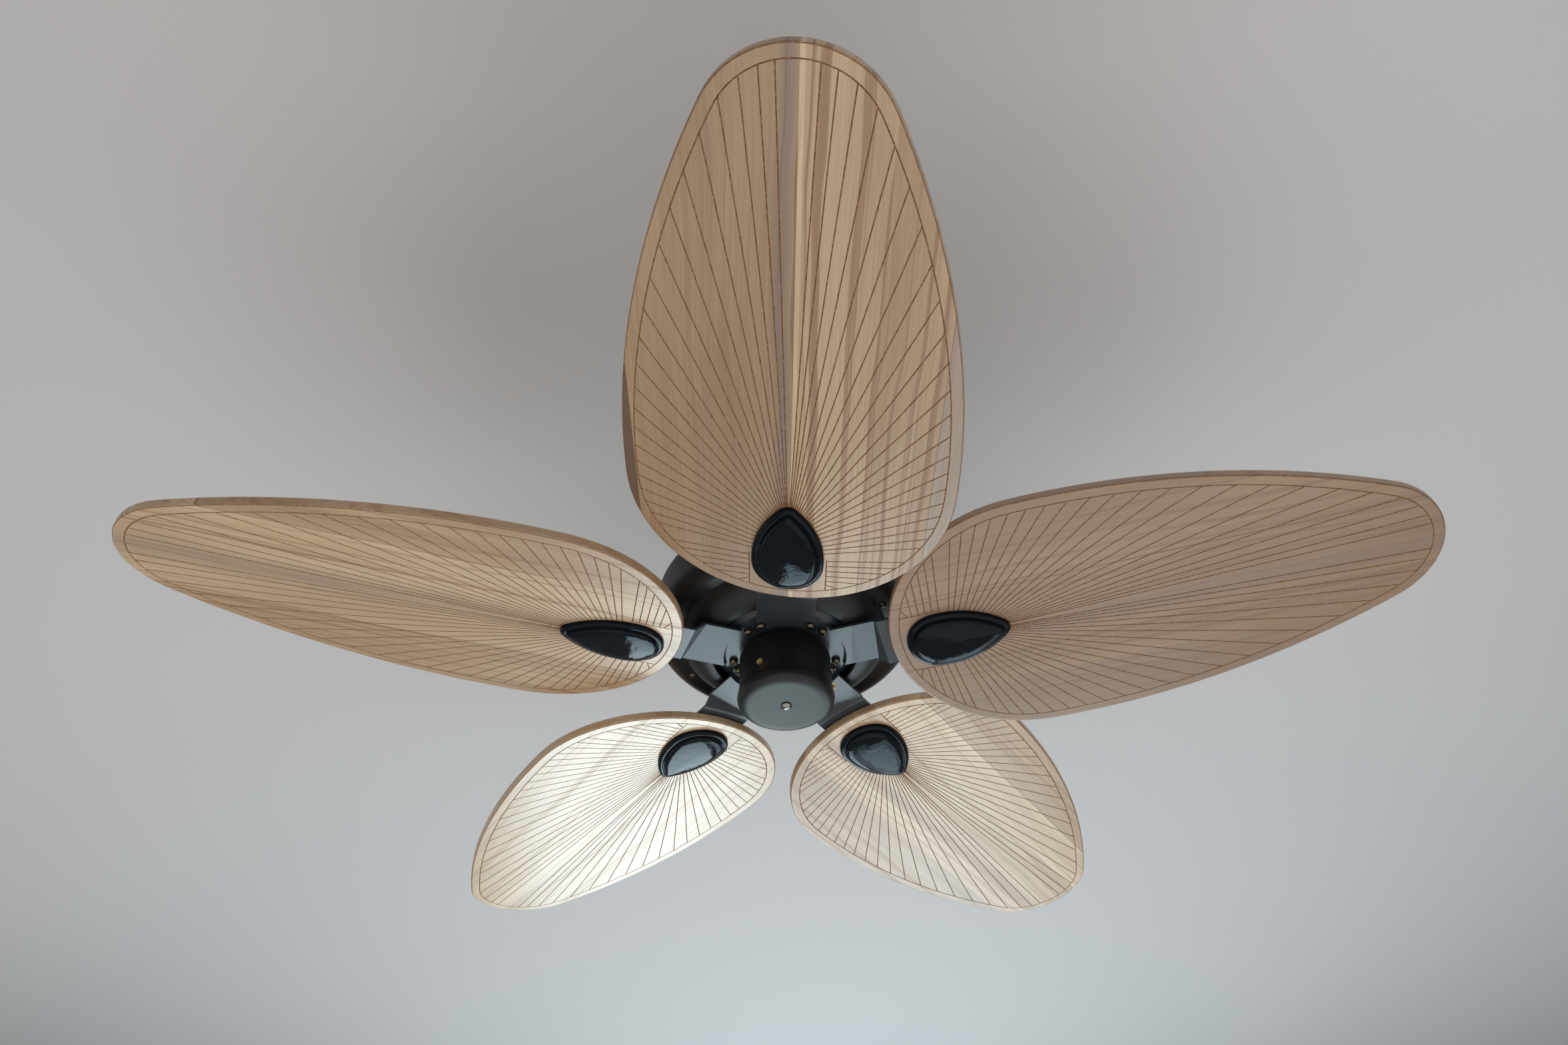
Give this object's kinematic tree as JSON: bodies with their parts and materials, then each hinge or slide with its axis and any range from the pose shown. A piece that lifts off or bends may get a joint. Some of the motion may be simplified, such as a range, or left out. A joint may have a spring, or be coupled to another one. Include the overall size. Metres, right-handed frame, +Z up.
{
  "type": "ceiling fan",
  "caption": "Ceiling fan that hangs from a downrod and ball hanger, with broad carved palm-leaf wooden blades on bent irons, glossy teardrop medallions and a black motor housing.",
  "frame": {"origin": "centre of the hanger bracket's ceiling face", "axes": "+Z up into the ceiling, along the fan's axis; the first blade points to -Y"},
  "size_m": [1.2637, 1.2097, 0.5239],
  "materials": {
    "black_metal": "matte",
    "iron_black": "satin",
    "zinc_steel": "satin",
    "ground_green": "satin",
    "ball_black": "matte",
    "cast_metal": "satin",
    "motor_paint": "matte",
    "ground_steel": "polished",
    "lamination": "satin",
    "copper": "satin",
    "screw_nickel": "polished",
    "washer_dark": "satin",
    "thumb_brass": "satin",
    "black_plastic": "matte",
    "medallion_gloss": "gloss",
    "blade_wood": "satin"
  },
  "bodies": {
    "ceiling_mount": {"hanger_bracket": "zinc_steel", "ground_screw": "ground_green", "canopy": "black_metal", "canopy_screws": "black_metal"},
    "fan_frame": {"hanger_ball": "ball_black", "ball_pin": "zinc_steel", "ball_set_screw": "zinc_steel", "downrod": "black_metal", "motor_yoke": "cast_metal", "clevis_pin": "zinc_steel", "hitch_pin": "zinc_steel", "yoke_set_screws": "zinc_steel", "coupling_cover": "black_metal", "upper_housing": "black_metal", "housing_plate": "zinc_steel", "housing_plate_screws": "zinc_steel", "lower_housing": "black_metal", "housing_screws": "black_metal", "motor_shaft": "ground_steel", "stator_core": "lamination", "stator_windings": "copper", "lower_bearing_inner": "ground_steel", "upper_bearing_inner": "ground_steel", "switch_cup": "black_metal", "shaft_nut": "zinc_steel", "switch_cap": "black_metal", "cap_screw": "screw_nickel", "cap_nut": "zinc_steel", "cup_screws": "thumb_brass", "capacitor": "black_plastic", "reverse_switch": "black_plastic"},
    "reverse_knob": {"reverse_knob": "black_plastic"},
    "rotor": {"lower_bearing_outer": "ground_steel", "upper_bearing_outer": "ground_steel", "lower_bell": "motor_paint", "upper_bell": "motor_paint", "rotor_ring": "lamination", "bell_screws": "zinc_steel", "blade_screws": "screw_nickel", "blade_washers": "washer_dark", "iron_screws": "screw_nickel", "iron_washers": "washer_dark", "blade_iron_1": "iron_black", "blade_1": "blade_wood", "medallion_1": "medallion_gloss", "blade_iron_2": "iron_black", "blade_2": "blade_wood", "medallion_2": "medallion_gloss", "blade_iron_3": "iron_black", "blade_3": "blade_wood", "medallion_3": "medallion_gloss", "blade_iron_4": "iron_black", "blade_4": "blade_wood", "medallion_4": "medallion_gloss", "blade_iron_5": "iron_black", "blade_5": "blade_wood", "medallion_5": "medallion_gloss"}
  },
  "joints": [
    {"name": "fan_swing", "type": "hinge", "parent": "ceiling_mount", "child": "fan_frame", "pos_m": [0, 0, -0.042], "axis": [1, 0, 0], "range_deg": [-10, 10]},
    {"name": "fan_spin", "type": "hinge", "parent": "fan_frame", "child": "rotor", "pos_m": [0, 0, -0.4], "axis": [0, 0, 1], "continuous": true},
    {"name": "reverse_slide", "type": "slide", "parent": "fan_frame", "child": "reverse_knob", "axis": [0, 0, 1], "range_m": [0, 0.005]}
  ]
}
